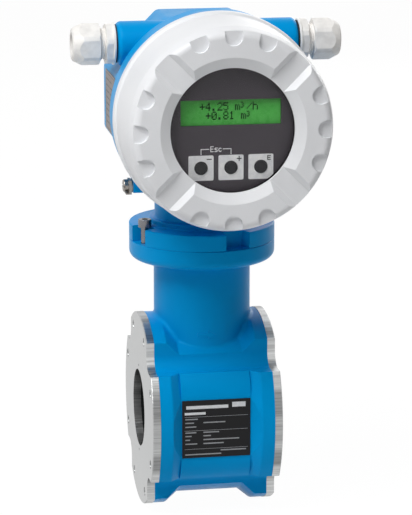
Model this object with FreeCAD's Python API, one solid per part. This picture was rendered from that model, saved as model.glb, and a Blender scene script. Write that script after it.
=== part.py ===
"""Electromagnetic flow meter for DN 50 pipe, wafer type, with its transmitter on top.

Millimetres. The bore axis is X and the flow runs towards +X. The origin is the middle of the bore,
+Z goes up through the neck, and the display looks towards -Y.
"""
import FreeCAD, Part
import math
import os

V = FreeCAD.Vector
X, Y, Z = V(1, 0, 0), V(0, 1, 0), V(0, 0, 1)

# ---- fits and edges ----
FIT = 0.3               # free play between parts that move on each other
SNUG = 0.05             # play of a pin or screw in its hole
THREAD_ROOM = 0.7       # room for the thread ridges between screwed parts
EDGE = 1.0              # rounding of a machined or moulded edge
FINE_EDGE = 0.5
CAST_EDGE = 2.0         # rounding of a cast edge
OVERRUN = 5.0           # how far a cutter runs past the surface it opens

# ---- sensor: barrel clamped between two pipe flanges ----
FACE_TO_FACE = 83.0
BORE_R = 25.0
BARREL_R = 62.2         # ends of the cast barrel
DISK_LIP = 0.3          # the disks stand out from the barrel by this
DISK_R = BARREL_R + DISK_LIP
DISK_T = 5.0
DISK_EDGE = 0.6
WAIST_DROP = 6.6
WAIST_R = BARREL_R - WAIST_DROP     # barrel between its ends
END_BAND = 8.0          # full-radius band at each end
WAIST_SLOPE = 8.0       # length of the slope from band to waist
CHAMBER_R = 46.3        # coil chamber bored through the barrel
BOLT_CIRCLE_R = 62.5    # four M16 flange bolts on a 125 mm circle
BOLT_CHANNEL_R = 9.6    # bolt channel in the four corners
SEAT_W = 44.6           # flat seat of the nameplate, front and rear
SEAT_FACE = 54.0        # seat face from the bore axis
SEAT_ROUND = 25.0       # roll-off of the seat towards the bolt channels
SEAT_FLARE = 6.2        # how far the side walls of the seat lean out
SEAT_FLARE_RISE = 8.0

# ---- lining, coils and electrodes ----
LINER_R = 30.0
LINER_FLANGE_R = CHAMBER_R - FIT
LINER_FLANGE_T = 8.0
LINER_FILLET = 3.0
LINER_PIN_R = 0.8       # moulded pins that key the lining in the disks
LINER_PIN_CIRCLE_R = 28.5
SEAL_R = 33.0           # middle radius of the face seals
SEAL_SECTION_R = 1.45
CORE_R = 9.0
CORE_ROOT = 26.0        # the core is trimmed to the lining from here
COIL_R = 20.0
COIL_BASE = 31.0
COIL_H = 6.5
BAND_W = 40.0
BAND_T = 1.5
ELECTRODE_R = 2.0
ELECTRODE_LEN = 13.0
ELECTRODE_NUT = 8.0     # across flats
ELECTRODE_NUT_T = 3.2
BOSS_R = 7.0
BOSS_FACE = 32.0

# ---- disk screws: a pair beside each bolt channel ----
DISK_SCREW_INSET = 7.2
DISK_SCREW_CIRCLE_R = BARREL_R - DISK_SCREW_INSET
DISK_SCREW_SPREAD = 20.0    # degrees to either side of the channel
SCREW_HEAD_R = 2.75
SCREW_HEAD_H = 3.0
SCREW_R = 1.5
SCREW_LEN = 9.0
SCREW_SINK = 0.5        # head below the disk face
SCREW_SOCKET_R = 1.2

# ---- neck and bayonet ----
NECK_R = 31.0
NECK_BORE_R = 24.0
NECK_FILLET = 2.5
FLANGE_R = 46.7
FLANGE_BOTTOM = 100.0
SEAM = 112.5            # where the head sits on the sensor
FLANGE_ROUND = 5.0
RING_TOP = 123.0
COLLAR_R = 34.0
COLLAR_TOP = 126.6
HEAD_NECK_R = 30.3
POCKETS = 4
POCKET_FIRST = 20.0     # degrees from the front, towards +X
POCKET_HALF = 10.5      # half width of a pocket in degrees
POCKET_R = 38.0
LOCK_SCREW_R = 2.5
LOCK_HEAD_R = 4.25
LOCK_HEAD_H = 5.0
LOCK_CIRCLE_R = 41.5
LOCK_THREAD = 9.0
SOCKET_FLATS = 4.0
ARROW_L = 12.0
ARROW_HEAD_L = 5.0
ARROW_SHAFT = 2.2
ARROW_HEAD_W = 5.6
ARROW_Z = 55.0
ARROW_SHIFT = -2.0
ARROW_PROUD = 0.5

# ---- transmitter head: axis along Y at height HEAD_Z; depths run forward, towards -Y ----
HEAD_Z = 200.5
COLLAR_THREAD_R = 56.7  # threaded collar that takes the cover; the head follows it
COLLAR_WALL = 6.7
COLLAR_FRONT = 74.0
OCTAGON_W = 2 * COLLAR_THREAD_R + 2.6   # across the side flats
OCTAGON_H = 2 * COLLAR_THREAD_R - 4.0   # from underside to top
OCTAGON_CUT = 34.0      # legs of the corner slopes
OCTAGON_ROUND = 5.0
OCTAGON_FRONT = 50.0
OCTAGON_BACK = -33.0
BACK_INSET = 5.0        # the back is drawn in by this on every side
BACK = -39.0
DRUM_STEP = 7.3         # shoulder of the drum round the collar
DRUM_R = COLLAR_THREAD_R + DRUM_STEP
DRUM_BACK = 34.0
DRUM_BEVEL = 4.0
DRUM_FRONT = 57.5
CAVITY_R = COLLAR_THREAD_R - COLLAR_WALL
CAVITY_BACK = -33.0
ENTRY_R = 9.8
EAR_R = 13.8
EAR_ROUND = 3.5
EAR_ROOT = 20.0
EAR_END = COLLAR_THREAD_R + FIT
EAR_RISE = CAVITY_R - ENTRY_R       # cable entries above the head axis, level with the cavity's top
EAR_DEPTH = 16.0

# ---- ground terminal ----
BOSS_END = COLLAR_THREAD_R - 7.2    # ground boss, out from the middle
BOSS_DROP = COLLAR_THREAD_R - 6.5   # underside of the boss below the head axis
BOSS_H = 12.0
BOSS_ROUND = 1.5
GROUND_DEPTH = 33.0
GROUND_W = 14.0
GROUND_RISE = 3.8       # ground screw above the underside of the boss
GROUND_SCREW_R = 2.0
GROUND_SCREW_L = 13.0
GROUND_HEAD_R = 3.9
GROUND_HEAD_H = 3.4
GROUND_SLOT_W = 1.0
GROUND_SLOT_H = 1.2
WASHER_R = 4.4
WASHER_T = 1.0
CLAMP_HALF = 4.9
CLAMP_T = 1.6
CHEEK_T = 0.8
CHEEK_L = 2.0

# ---- cover ----
COVER_BACK = 58.2
COVER_SKIRT = 8.3       # skirt of the cover outside the collar
COVER_BASE_R = COLLAR_THREAD_R + COVER_SKIRT
COVER_BASE_W = 6.5
COVER_BASE_SLOPE = 1.5
COVER_FRONT = 113.5
COVER_WALL_R = COVER_BASE_R - 1.6
COVER_RIM_R = COVER_BASE_R - 3.2
COVER_RIM_L = 9.0
COVER_RIM_DROP = 2.6
COVER_ROUND = 5.0
FRAME_R = 38.2          # round bezel of the display; window and glass follow it
WINDOW_R = FRAME_R - 0.7
RETAINER_R = FRAME_R + 0.8
GLASS_R = RETAINER_R + 3.6
BEVEL_R = WINDOW_R + 6.5
WINDOW_EDGE = 110.0
LIP_T = 1.4
SHOULDER = 77.0         # end of the wide bore that goes over the collar
INNER_R = COLLAR_THREAD_R - 4.2
INNER_TAPER = 10.0
GLASS_T = 3.5
GASKET_T = 0.6
RETAINER_T = 1.4
GLASS_BORE_EXTRA = 2.0
GROOVE_FLOOR_W = 11.0
GROOVE_TOP_W = 18.0
GROOVE_DEPTH = 3.4
GROOVE_START = WINDOW_R - 4.0
SCALLOP_R = 5.4
SCALLOP_INSET = 8.8
SCALLOP_CENTRE_R = COVER_BASE_R - SCALLOP_INSET
SCALLOP_DEPTH = 2.4
SCALLOP_RUN = 10.0
SCALLOP_STEP = 21.0
COVER_SEAL_R = 1.1

# ---- display ----
FRAME_FACE = 103.4
FRAME_PLATE = 2.0
FRAME_WALL = 1.2
FRAME_RIM = 2.5
FRAME_TAPER = 12.0
LCD_W = 1.586 * FRAME_R
LCD_H = 15.3
LCD_Z = HEAD_Z + 0.259 * FRAME_R
LCD_BORDER = 0.5
LCD_T = 3.0
BOARD_T = 1.6
BUTTON_R = 3.75
BUTTON_PITCH = 0.474 * FRAME_R
BUTTON_Z = HEAD_Z - 0.606 * FRAME_R
BUTTON_PROUD = 0.8
BUTTON_FLANGE_R = 4.6
BUTTON_FLANGE_T = 0.9
BUTTON_STEM_R = 1.6
BUTTON_TRAVEL_ROOM = 0.9

# ---- electronics ----
CARRIER_ROOM = 2.5      # between the can and the cavity
CARRIER_R = CAVITY_R - CARRIER_ROOM
CARRIER_WALL = 2.4
CARRIER_FLOOR = 3.0
CARRIER_FRONT = 84.0
LEAD_HOLE_R = NECK_BORE_R - 4.0
LEAD_HOLE_H = 12.0
POWER_DEPTH = -14.0
AMPLIFIER_DEPTH = 44.0
BOARD_ROOM = 3.6        # between the boards and the can
BOARD_R = CARRIER_R - CARRIER_WALL - BOARD_ROOM
BOARD_FLAT = 8.0
SPACER_R = 2.6
SPACER_INSET = 6.0
SPACER_CIRCLE_R = BOARD_R - SPACER_INSET
TERMINALS = 8
TERMINAL_PITCH = 5.0
TERMINAL_H = 14.0
TERMINAL_MARGIN = 3.3   # above the flat of the board
TERMINAL_Z = HEAD_Z - BOARD_R + BOARD_FLAT + TERMINAL_MARGIN + TERMINAL_H / 2
TERMINAL_D = 14.0
TERMINAL_SCREW_R = 1.8
TERMINAL_SCREW_H = 3.0
TERMINAL_SCREW_SINK = 2.0
TERMINAL_SCREW_RISE = 2.5
TERMINAL_WELL = 5.0
WIRE_W = 3.2
WIRE_H = 8.0
WIRE_NEAR = 2.8
WIRE_FAR = 6.0

# ---- cable glands, M20, 24 mm across flats; lengths run outward from the ear face ----
HEX = 24.0
HEX_CORNER_R = 13.1     # corners of the hexagons turned off
GLAND_SEAL_T = 0.8
GLAND_RING_T = 1.6      # round foot below the hexagon
GLAND_HEX_END = 6.8
GLAND_SPIGOT_R = 9.3
GLAND_SPIGOT_END = 20.5
GLAND_BORE_R = 6.8
GLAND_MOUTH_R = 8.4
GLAND_MOUTH_L = 9.0
GLAND_THREAD_L = 9.0
BUSH_BORE_R = 6.0
BUSH_END = 23.6
NUT_START = 10.4
NUT_END = 27.6
NUT_DOME_L = 6.5
NUT_DOME_DROP = 2.0
NUT_HOLE_R = 6.6
NUT_WALL = 3.3
BODY_TURN = {-1: 13.0, 1: 24.0}     # degrees the hexagons are turned, left and right
NUT_TURN = {-1: 22.0, 1: 33.0}

# ---- plates ----
PLATE_T = 0.5
PLATE_MARGIN = 0.45
NAMEPLATE_W = SEAT_W - 2 * PLATE_MARGIN
NAMEPLATE_H = 37.6
SIDE_PLATE_W = 44.0
SIDE_PLATE_H = 38.0


# ======================= helpers =======================

def rod(radius, start, end):
    """Round bar between two points."""
    way = end.sub(start)
    return Part.makeCylinder(radius, way.Length, start, way)


def block(x0, x1, y0, y1, z0, z1):
    return Part.makeBox(x1 - x0, y1 - y0, z1 - z0, V(x0, y0, z0))


def rounded_corner(before, point, after, radius):
    """Start, middle and end of the arc that rounds a corner."""
    back = before.sub(point).normalize()
    on = after.sub(point).normalize()
    half = back.getAngle(on) / 2
    inward = back.add(on).normalize()
    run = radius / math.tan(half)
    centre = point + inward * (radius / math.sin(half))
    return point + back * run, centre - inward * radius, point + on * run


def outline(corners):
    """Closed wire through (point, rounding radius) corners."""
    arcs = []
    for i, (point, radius) in enumerate(corners):
        before = corners[i - 1][0]
        after = corners[(i + 1) % len(corners)][0]
        if radius:
            arcs.append(rounded_corner(before, point, after, radius))
        else:
            arcs.append((point, None, point))
    edges = []
    for i, (start, middle, end) in enumerate(arcs):
        if middle:
            edges.append(Part.Arc(start, middle, end).toShape())
        following = arcs[(i + 1) % len(arcs)][0]
        if end.distanceToPoint(following) > 1e-6:
            edges.append(Part.makeLine(end, following))
    return Part.Wire(edges)


def turned(origin, along, across, profile):
    """Solid of revolution; the profile holds (distance along, radius) or (..., rounding)."""
    corners = []
    for step in profile:
        rounding = step[2] if len(step) > 2 else 0.0
        corners.append((origin + along * step[0] + across * step[1], rounding))
    return Part.Face(outline(corners)).revolve(origin, along, 360)


def about_bore(profile):
    return turned(V(0, 0, 0), X, Z, profile)


def about_neck(profile):
    return turned(V(0, 0, 0), Z, X, profile)


def about_head(profile):
    """Revolved about the head axis; distances are depths towards the front."""
    return turned(V(0, 0, HEAD_Z), -Y, X, profile)


def ring(origin, along, across, middle_r, section_r):
    """O-ring."""
    centre = origin + across * middle_r
    circle = Part.Wire(Part.makeCircle(section_r, centre, along.cross(across)))
    return Part.Face(circle).revolve(origin, along, 360)


def around(shape, count, axis=Z, centre=V(0, 0, 0), first=0.0):
    """Copies of a shape spread evenly about an axis."""
    copies = []
    for i in range(count):
        copy = shape.copy()
        copy.rotate(centre, axis, first + i * 360.0 / count)
        copies.append(copy)
    return copies


def group(solids):
    return Part.makeCompound(solids)


def prism(points, way):
    """Straight prism on a polygon of points, with square corners."""
    return Part.Face(Part.makePolygon(points + [points[0]])).extrude(way)


def hexagon(flats, origin, across, up, way, turn=0.0):
    """Hexagonal bar with a corner towards across, turned by an angle towards up."""
    radius = flats / math.sqrt(3)
    points = []
    for i in range(6):
        angle = math.radians(turn + 60 * i)
        points.append(origin + across * (radius * math.cos(angle)) + up * (radius * math.sin(angle)))
    return prism(points, way)


def polar(radius, degrees):
    """First and second coordinate of a point at a radius and an angle."""
    return radius * math.cos(math.radians(degrees)), radius * math.sin(math.radians(degrees))


# ======================= sensor =======================

def channel_wall():
    """Flat walls of the bolt channels, from the bore axis."""
    return BOLT_CIRCLE_R / math.sqrt(2) - BOLT_CHANNEL_R


def bolt_channels(length):
    """The four open corners that clear the flange bolts."""
    wall = channel_wall()
    far = DISK_R + OVERRUN
    start = -length / 2
    corners = [
        (V(start, wall, wall), BOLT_CHANNEL_R),
        (V(start, far, wall), 0),
        (V(start, far, far), 0),
        (V(start, wall, far), 0),
    ]
    channel = Part.Face(outline(corners)).extrude(X * length)
    return group(around(channel, 4, X))


def nameplate_seat():
    """Flat-faced block across the waist whose face rolls off to the channel walls."""
    wall = channel_wall()
    roll = SEAT_ROUND * math.tan(math.radians(22.5)) / math.sqrt(2)
    corner = wall - roll
    edge = SEAT_FACE - roll
    start = -SEAT_W / 2
    corners = [
        (V(start, -SEAT_FACE, -corner), SEAT_ROUND), (V(start, -SEAT_FACE, corner), SEAT_ROUND),
        (V(start, -edge, wall), 0), (V(start, edge, wall), 0),
        (V(start, SEAT_FACE, corner), SEAT_ROUND), (V(start, SEAT_FACE, -corner), SEAT_ROUND),
        (V(start, edge, -wall), 0), (V(start, -edge, -wall), 0),
    ]
    return Part.Face(outline(corners)).extrude(X * SEAT_W)


def seat_clearing():
    """What is cast away in front of both seats, with leaning side walls."""
    low = -channel_wall()
    half = SEAT_W / 2
    grow = 1 + OVERRUN / SEAT_FLARE_RISE
    far = SEAT_FACE + SEAT_FLARE_RISE * grow
    wide = half + SEAT_FLARE * grow
    points = [V(-half, -SEAT_FACE, low), V(half, -SEAT_FACE, low), V(wide, -far, low), V(-wide, -far, low)]
    return group(around(prism(points, Z * (-2 * low)), 2))


def barrel_length():
    return FACE_TO_FACE - 2 * DISK_T


def disk_screw_places(side):
    """Axis points of the disk screws on one face; side is -1 left or +1 right."""
    places = []
    for quarter in range(4):
        for way in (-1, 1):
            y, z = polar(DISK_SCREW_CIRCLE_R, 45 + 90 * quarter + way * DISK_SCREW_SPREAD)
            places.append(V(side * FACE_TO_FACE / 2, y, z))
    return places


def lock_screw_places():
    """The two securing screws stand in opposite pockets, the second and the fourth."""
    places = []
    for i in (1, 3):
        angle = math.radians(POCKET_FIRST - 90.0 * i)
        places.append(V(LOCK_CIRCLE_R * math.sin(angle), -LOCK_CIRCLE_R * math.cos(angle), 0))
    return places


def flow_arrow():
    """Raised arrow at the foot of the neck, pointing with the flow."""
    left = ARROW_SHIFT - ARROW_L / 2
    right = left + ARROW_L
    notch = right - ARROW_HEAD_L
    sketch = [
        (left, -ARROW_SHAFT / 2), (notch, -ARROW_SHAFT / 2), (notch, -ARROW_HEAD_W / 2), (right, 0),
        (notch, ARROW_HEAD_W / 2), (notch, ARROW_SHAFT / 2), (left, ARROW_SHAFT / 2),
    ]
    front = NECK_R + ARROW_PROUD
    points = [V(x, -front, ARROW_Z + z) for x, z in sketch]
    return prism(points, Y * OVERRUN).common(rod(front, V(0, 0, 0), Z * SEAM))


def barrel_with_neck():
    """Waisted barrel and the neck growing out of it, softened where they meet."""
    half = barrel_length() / 2
    band = half - END_BAND
    waist = band - WAIST_SLOPE
    barrel = about_bore([
        (-half, 0), (-half, BARREL_R), (-band, BARREL_R, CAST_EDGE), (-waist, WAIST_R, CAST_EDGE),
        (waist, WAIST_R, CAST_EDGE), (band, BARREL_R, CAST_EDGE), (half, BARREL_R), (half, 0),
    ])
    body = barrel.fuse(rod(NECK_R, V(0, 0, 0), Z * (FLANGE_BOTTOM + EDGE))).removeSplitter()
    return soften_neck_foot(body)


def sensor_housing():
    half = barrel_length() / 2
    body = barrel_with_neck().fuse(nameplate_seat())
    body = body.cut(seat_clearing()).cut(bolt_channels(FACE_TO_FACE))
    flange = about_neck([
        (FLANGE_BOTTOM, 0), (FLANGE_BOTTOM, FLANGE_R, FLANGE_ROUND), (SEAM, FLANGE_R, FINE_EDGE), (SEAM, 0),
    ])
    body = body.fuse([flange, flow_arrow()]).removeSplitter()
    body = body.cut(rod(CHAMBER_R, V(-half, 0, 0), V(half, 0, 0)))
    body = body.cut(rod(NECK_BORE_R, V(0, 0, 0), Z * SEAM))
    body = body.cut(neck_seal_groove())
    for side in (-1, 1):
        for place in disk_screw_places(side):
            hole_end = place - X * (side * (SCREW_SINK + SCREW_HEAD_H + SCREW_LEN + EDGE))
            body = body.cut(rod(SCREW_R + SNUG, place, hole_end))
    for place in lock_screw_places():
        body = body.cut(rod(LOCK_SCREW_R + SNUG, place + Z * (SEAM - LOCK_THREAD - EDGE), place + Z * SEAM))
    return body


def soften_neck_foot(body):
    """Fillet where the neck grows out of the barrel."""
    foot = []
    for edge in body.Edges:
        box = edge.BoundBox
        middle = edge.valueAt((edge.FirstParameter + edge.LastParameter) / 2)
        on_neck = abs(math.hypot(middle.x, middle.y) - NECK_R) < SNUG
        if on_neck and 0 < box.ZMin and box.ZMax < FLANGE_BOTTOM:
            foot.append(edge)
    return body.makeFillet(NECK_FILLET, foot)


def neck_seal_groove():
    floor = SEAM - 2 * SEAL_SECTION_R - SNUG
    width = SEAL_SECTION_R + FIT
    return rod(SEAL_R + width, Z * floor, Z * SEAM).cut(rod(SEAL_R - width, Z * floor, Z * SEAM))


def neck_seal():
    return ring(Z * (SEAM - SEAL_SECTION_R - SNUG), Z, X, SEAL_R, SEAL_SECTION_R)


def measuring_tube():
    """Plastic lining with an end flange at each side and flat bosses for the electrodes."""
    half = barrel_length() / 2
    neck = half - LINER_FLANGE_T
    body = about_bore([
        (-half, BORE_R), (-half, LINER_FLANGE_R), (-neck, LINER_FLANGE_R), (-neck, LINER_R, LINER_FILLET),
        (neck, LINER_R, LINER_FILLET), (neck, LINER_FLANGE_R), (half, LINER_FLANGE_R), (half, BORE_R),
    ])
    for side in (-1, 1):
        boss = rod(BOSS_R, V(0, 0, 0), V(0, side * BOSS_FACE, 0))
        pins = liner_pins(side, LINER_PIN_R, FACE_TO_FACE / 2 - SNUG)
        body = body.fuse([boss, pins]).cut(rod(BORE_R, V(-half, 0, 0), V(half, 0, 0)))
        body = body.cut(seal_groove(side))
        body = body.cut(rod(ELECTRODE_R + SNUG, V(0, 0, 0), V(0, side * (BOSS_FACE + EDGE), 0)))
    return body


def liner_pins(side, radius, end):
    """Two pins, above and below the bore, that run from the lining into a disk."""
    root = side * (barrel_length() / 2 - EDGE)
    pins = []
    for up in (-1, 1):
        height = up * LINER_PIN_CIRCLE_R
        pins.append(rod(radius, V(root, 0, height), V(side * end, 0, height)))
    return group(pins)


def seal_groove(side):
    face = side * barrel_length() / 2
    floor = face - side * 2 * SEAL_SECTION_R
    width = SEAL_SECTION_R + FIT
    return rod(SEAL_R + width, X * floor, X * face).cut(rod(SEAL_R - width, X * floor, X * face))


def tube_seal(side):
    return ring(X * (side * (barrel_length() / 2 - SEAL_SECTION_R)), X, Z, SEAL_R, SEAL_SECTION_R)


def ground_disk(side):
    """Stainless disk that bears on the pipe flange, open at the four bolts."""
    inner = side * barrel_length() / 2
    outer = side * FACE_TO_FACE / 2
    body = about_bore([
        (inner, BORE_R), (inner, DISK_R), (outer, DISK_R, DISK_EDGE), (outer, BORE_R),
    ])
    body = body.cut(bolt_channels(FACE_TO_FACE))
    body = body.cut(liner_pins(side, LINER_PIN_R + SNUG, FACE_TO_FACE / 2))
    for place in disk_screw_places(side):
        sink = place - X * (side * (SCREW_SINK + SCREW_HEAD_H))
        body = body.cut(rod(SCREW_HEAD_R + SNUG, place, sink))
        body = body.cut(rod(SCREW_R + SNUG, place, place - X * (side * DISK_T)))
    return body


def disk_screws(side):
    screws = []
    for place in disk_screw_places(side):
        top = place - X * (side * SCREW_SINK)
        under = top - X * (side * SCREW_HEAD_H)
        screw = rod(SCREW_HEAD_R, top, under).fuse(rod(SCREW_R, under, under - X * (side * SCREW_LEN)))
        screws.append(screw.cut(rod(SCREW_SOCKET_R, top, top - X * (side * SCREW_HEAD_H / 2))))
    return group(screws)


def band_inner_r():
    return CHAMBER_R - FIT - BAND_T


def pole_core(side):
    """Iron core between the lining and the steel band, shaped to both."""
    core = rod(CORE_R, Z * (side * CORE_ROOT), Z * (side * CHAMBER_R))
    core = core.common(rod(band_inner_r(), V(-BAND_W, 0, 0), V(BAND_W, 0, 0)))
    return core.cut(rod(LINER_R, V(-BAND_W, 0, 0), V(BAND_W, 0, 0)))


def coil(side):
    return turned(V(0, 0, 0), Z * side, X, [
        (COIL_BASE, CORE_R + FIT), (COIL_BASE, COIL_R, EDGE), (COIL_BASE + COIL_H, COIL_R, EDGE),
        (COIL_BASE + COIL_H, CORE_R + FIT),
    ])


def flux_return():
    """Steel band that closes the magnetic circuit outside the coils."""
    band = about_bore([
        (-BAND_W / 2, band_inner_r()), (-BAND_W / 2, band_inner_r() + BAND_T),
        (BAND_W / 2, band_inner_r() + BAND_T), (BAND_W / 2, band_inner_r()),
    ])
    return band


def electrode(side):
    pin = rod(ELECTRODE_R, V(0, 0, 0), V(0, side * (BORE_R + ELECTRODE_LEN), 0))
    return pin.cut(rod(BORE_R, V(-ELECTRODE_NUT, 0, 0), V(ELECTRODE_NUT, 0, 0)))


def electrode_nuts():
    nuts = []
    for side in (-1, 1):
        way = Y * (side * ELECTRODE_NUT_T)
        face = V(0, side * BOSS_FACE, 0)
        nut = hexagon(ELECTRODE_NUT, face, X, Z, way)
        nuts.append(nut.cut(rod(ELECTRODE_R + SNUG, face, face + way)))
    return group(nuts)


def sensor_nameplate():
    return block(-NAMEPLATE_W / 2, NAMEPLATE_W / 2, -SEAT_FACE - PLATE_T, -SEAT_FACE,
                 -NAMEPLATE_H / 2, NAMEPLATE_H / 2)


def securing_screws():
    """Socket-head screws that hold the bayonet ring down on the flange."""
    screws = []
    under = RING_TOP + FIT / 2
    for place in lock_screw_places():
        shank = rod(LOCK_SCREW_R, place + Z * (SEAM - LOCK_THREAD), place + Z * under)
        head = turned(place, Z, X, [
            (under, 0), (under, LOCK_HEAD_R), (under + LOCK_HEAD_H, LOCK_HEAD_R, FINE_EDGE),
            (under + LOCK_HEAD_H, 0),
        ])
        socket = hexagon(SOCKET_FLATS, place + Z * (under + LOCK_HEAD_H / 2), X, Y, Z * LOCK_HEAD_H)
        screws.append(shank.fuse(head).cut(socket))
    return group(screws)


# ======================= transmitter housing =======================

def octagon(inset, depth):
    """Octagonal outline of the housing at a depth, drawn in by an inset."""
    half = OCTAGON_W / 2 - inset
    rise = OCTAGON_H / 2 - inset
    flank = OCTAGON_H / 2 - OCTAGON_CUT
    crown = OCTAGON_W / 2 - OCTAGON_CUT
    corners = []
    for x, z in ((half, flank), (crown, rise), (-crown, rise), (-half, flank),
                 (-half, -flank), (-crown, -rise), (crown, -rise), (half, -flank)):
        corners.append((V(x, -depth, HEAD_Z + z), OCTAGON_ROUND))
    return outline(corners)


def octagon_body():
    straight = Part.Face(octagon(0, OCTAGON_FRONT)).extrude(Y * (OCTAGON_FRONT - OCTAGON_BACK))
    back = Part.makeLoft([octagon(0, OCTAGON_BACK), octagon(BACK_INSET, BACK)], True, True)
    return straight.fuse(back)


def bayonet_ring():
    """Ring and neck at the foot of the head; the pockets let the securing screws through."""
    top = HEAD_Z - CAVITY_R
    foot = about_neck([
        (SEAM, 0), (SEAM, FLANGE_R, FINE_EDGE), (RING_TOP, FLANGE_R, EDGE), (RING_TOP, COLLAR_R, EDGE),
        (COLLAR_TOP, COLLAR_R, EDGE), (COLLAR_TOP, HEAD_NECK_R, EDGE), (top, HEAD_NECK_R), (top, 0),
    ])
    far = FLANGE_R + OVERRUN
    corners = []
    for radius, angle, rounding in ((POCKET_R, -POCKET_HALF, CAST_EDGE), (far, -POCKET_HALF, 0),
                                    (far, POCKET_HALF, 0), (POCKET_R, POCKET_HALF, CAST_EDGE)):
        x, y = polar(radius, angle - 90)
        corners.append((V(x, y, SEAM), rounding))
    pocket = Part.Face(outline(corners)).extrude(Z * (COLLAR_TOP - SEAM))
    for cutter in around(pocket, POCKETS, first=POCKET_FIRST):
        foot = foot.cut(cutter)
    return foot


def ear_axis():
    """Middle of the head on the axis of the two cable entries."""
    return V(0, -EAR_DEPTH, HEAD_Z + EAR_RISE)


def cable_ears():
    ears = []
    for side in (-1, 1):
        ears.append(turned(ear_axis(), X * side, Z, [
            (EAR_ROOT, 0), (EAR_ROOT, EAR_R), (EAR_END, EAR_R, EAR_ROUND), (EAR_END, 0),
        ]))
    return ears


def ground_boss():
    """Block below the left slope of the housing that takes the ground screw."""
    low = HEAD_Z - BOSS_DROP
    near = -GROUND_DEPTH - GROUND_W / 2
    corners = []
    for y, z in ((near, low), (near + GROUND_W, low), (near + GROUND_W, low + BOSS_H), (near, low + BOSS_H)):
        corners.append((V(-BOSS_END, y, z), BOSS_ROUND))
    return Part.Face(outline(corners)).extrude(X * BOSS_END)


def transmitter_housing():
    drum = about_head([
        (DRUM_BACK, 0), (DRUM_BACK, DRUM_R - DRUM_BEVEL), (DRUM_BACK + DRUM_BEVEL, DRUM_R, CAST_EDGE),
        (DRUM_FRONT, DRUM_R, EDGE), (DRUM_FRONT, COLLAR_THREAD_R),
        (COLLAR_FRONT, COLLAR_THREAD_R, EDGE), (COLLAR_FRONT, 0),
    ])
    body = octagon_body().fuse(drum).fuse(bayonet_ring()).fuse(ground_boss())
    body = body.fuse(cable_ears()).removeSplitter()
    cavity = about_head([
        (CAVITY_BACK, 0), (CAVITY_BACK, CAVITY_R), (COLLAR_FRONT, CAVITY_R), (COLLAR_FRONT, 0),
    ])
    body = body.cut(cavity)
    body = body.cut(rod(NECK_BORE_R, Z * SEAM, Z * HEAD_Z))
    for side in (-1, 1):
        body = body.cut(rod(ENTRY_R, ear_axis() + X * (side * EAR_ROOT), gland_origin(side)))
    screw = ground_axis()
    return body.cut(rod(GROUND_SCREW_R + SNUG, screw, screw + X * GROUND_SCREW_L))


# ======================= ground terminal and side plate =======================

def ground_axis():
    """Where the ground screw enters the boss."""
    return V(-BOSS_END, -GROUND_DEPTH, HEAD_Z - BOSS_DROP + GROUND_RISE)


def ground_washer():
    start = ground_axis()
    end = start - X * WASHER_T
    return rod(WASHER_R, start, end).cut(rod(GROUND_SCREW_R + SNUG, start, end))


def ground_clamp():
    """Square wire clamp with a turned-up cheek below the screw head."""
    start = ground_axis() - X * WASHER_T
    low = start.z - CLAMP_HALF
    near = start.y - CLAMP_HALF
    far = start.y + CLAMP_HALF
    plate = block(start.x - CLAMP_T, start.x, near, far, low, start.z + GROUND_HEAD_R)
    cheek = block(start.x - CLAMP_T - CHEEK_L, start.x, near, far, low, low + CHEEK_T)
    return plate.fuse(cheek).cut(rod(GROUND_SCREW_R + SNUG, start, start - X * CLAMP_T))


def ground_screw():
    under = ground_axis() - X * (WASHER_T + CLAMP_T)
    head = turned(under, -X, Z, [
        (0, 0), (0, GROUND_HEAD_R), (GROUND_HEAD_H, GROUND_HEAD_R, EDGE), (GROUND_HEAD_H, 0),
    ])
    outer = under.x - GROUND_HEAD_H
    slot = block(outer, outer + GROUND_SLOT_H, under.y - GROUND_HEAD_R, under.y + GROUND_HEAD_R,
                 under.z - GROUND_SLOT_W / 2, under.z + GROUND_SLOT_W / 2)
    return head.fuse(rod(GROUND_SCREW_R, under, under + X * GROUND_SCREW_L)).cut(slot)


def housing_nameplate():
    """Metal plate on the left flank, between the drum and the back."""
    flank = -OCTAGON_W / 2
    middle = -(DRUM_BACK + OCTAGON_BACK) / 2
    return block(flank - PLATE_T, flank, middle - SIDE_PLATE_W / 2, middle + SIDE_PLATE_W / 2,
                 HEAD_Z - SIDE_PLATE_H / 2, HEAD_Z + SIDE_PLATE_H / 2)


# ======================= cover =======================

def glass_front():
    return WINDOW_EDGE - LIP_T - GASKET_T


def radial_groove():
    """Trapezoid channel across the face of the cover, drawn along +X and cut at four angles."""
    floor = COVER_FRONT - GROOVE_DEPTH
    points = []
    for depth, half in ((floor, -GROOVE_FLOOR_W / 2), (COVER_FRONT, -GROOVE_TOP_W / 2),
                        (COVER_FRONT, GROOVE_TOP_W / 2), (floor, GROOVE_FLOOR_W / 2)):
        points.append(V(GROOVE_START, -depth, HEAD_Z + half))
    return prism(points, X * COVER_BASE_R)


def scallop():
    """Half-round finger recess open to the rim."""
    floor = COVER_FRONT - SCALLOP_DEPTH
    centre = V(SCALLOP_CENTRE_R, -floor, HEAD_Z)
    end = rod(SCALLOP_R, centre, centre - Y * SCALLOP_RUN)
    run = block(SCALLOP_CENTRE_R, COVER_BASE_R, -floor - SCALLOP_RUN, -floor,
                HEAD_Z - SCALLOP_R, HEAD_Z + SCALLOP_R)
    return end.fuse(run)


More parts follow.
